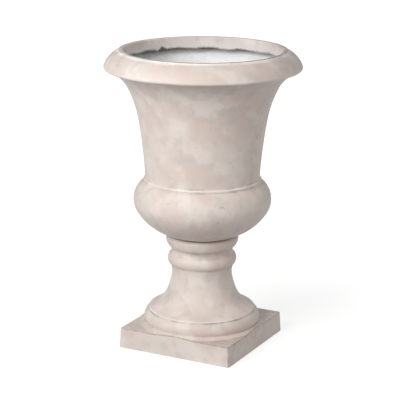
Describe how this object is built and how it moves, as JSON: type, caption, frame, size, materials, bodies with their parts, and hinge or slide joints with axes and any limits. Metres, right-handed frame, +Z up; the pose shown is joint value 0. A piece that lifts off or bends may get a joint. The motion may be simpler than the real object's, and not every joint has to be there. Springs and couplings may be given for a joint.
{
  "type": "urn planter",
  "caption": "Footed garden urn with a rolled rim, flared bell, bulging bowl and square plinth, hollow throughout, with a lift-out drain plug.",
  "frame": {"origin": "centre of the square plinth's underside, on the ground", "axes": "+Z up along the urn's turning axis; the plinth's sides lie along X and Y; the drain hole is on the +X side of the bolt"},
  "size_m": [0.5027, 0.5028, 0.77],
  "materials": {
    "stone_coat": "satin",
    "laminate": "matte",
    "dark_rubber": "matte",
    "plain_steel": "satin"
  },
  "bodies": {
    "urn": {"bowl_shell": "stone_coat", "bowl_lining": "laminate", "pedestal_shell": "stone_coat", "pedestal_lining": "laminate", "seat_gasket": "dark_rubber", "seal_washer": "dark_rubber", "bolt_washer": "plain_steel", "crown_washer": "plain_steel", "tie_bolt": "plain_steel", "tie_nut": "plain_steel"},
    "drain_plug": {"drain_plug": "dark_rubber"}
  },
  "joints": [
    {"name": "drain_plug_pull", "type": "slide", "parent": "urn", "child": "drain_plug", "axis": [0, 0, 1], "range_m": [0, 0.5]}
  ]
}
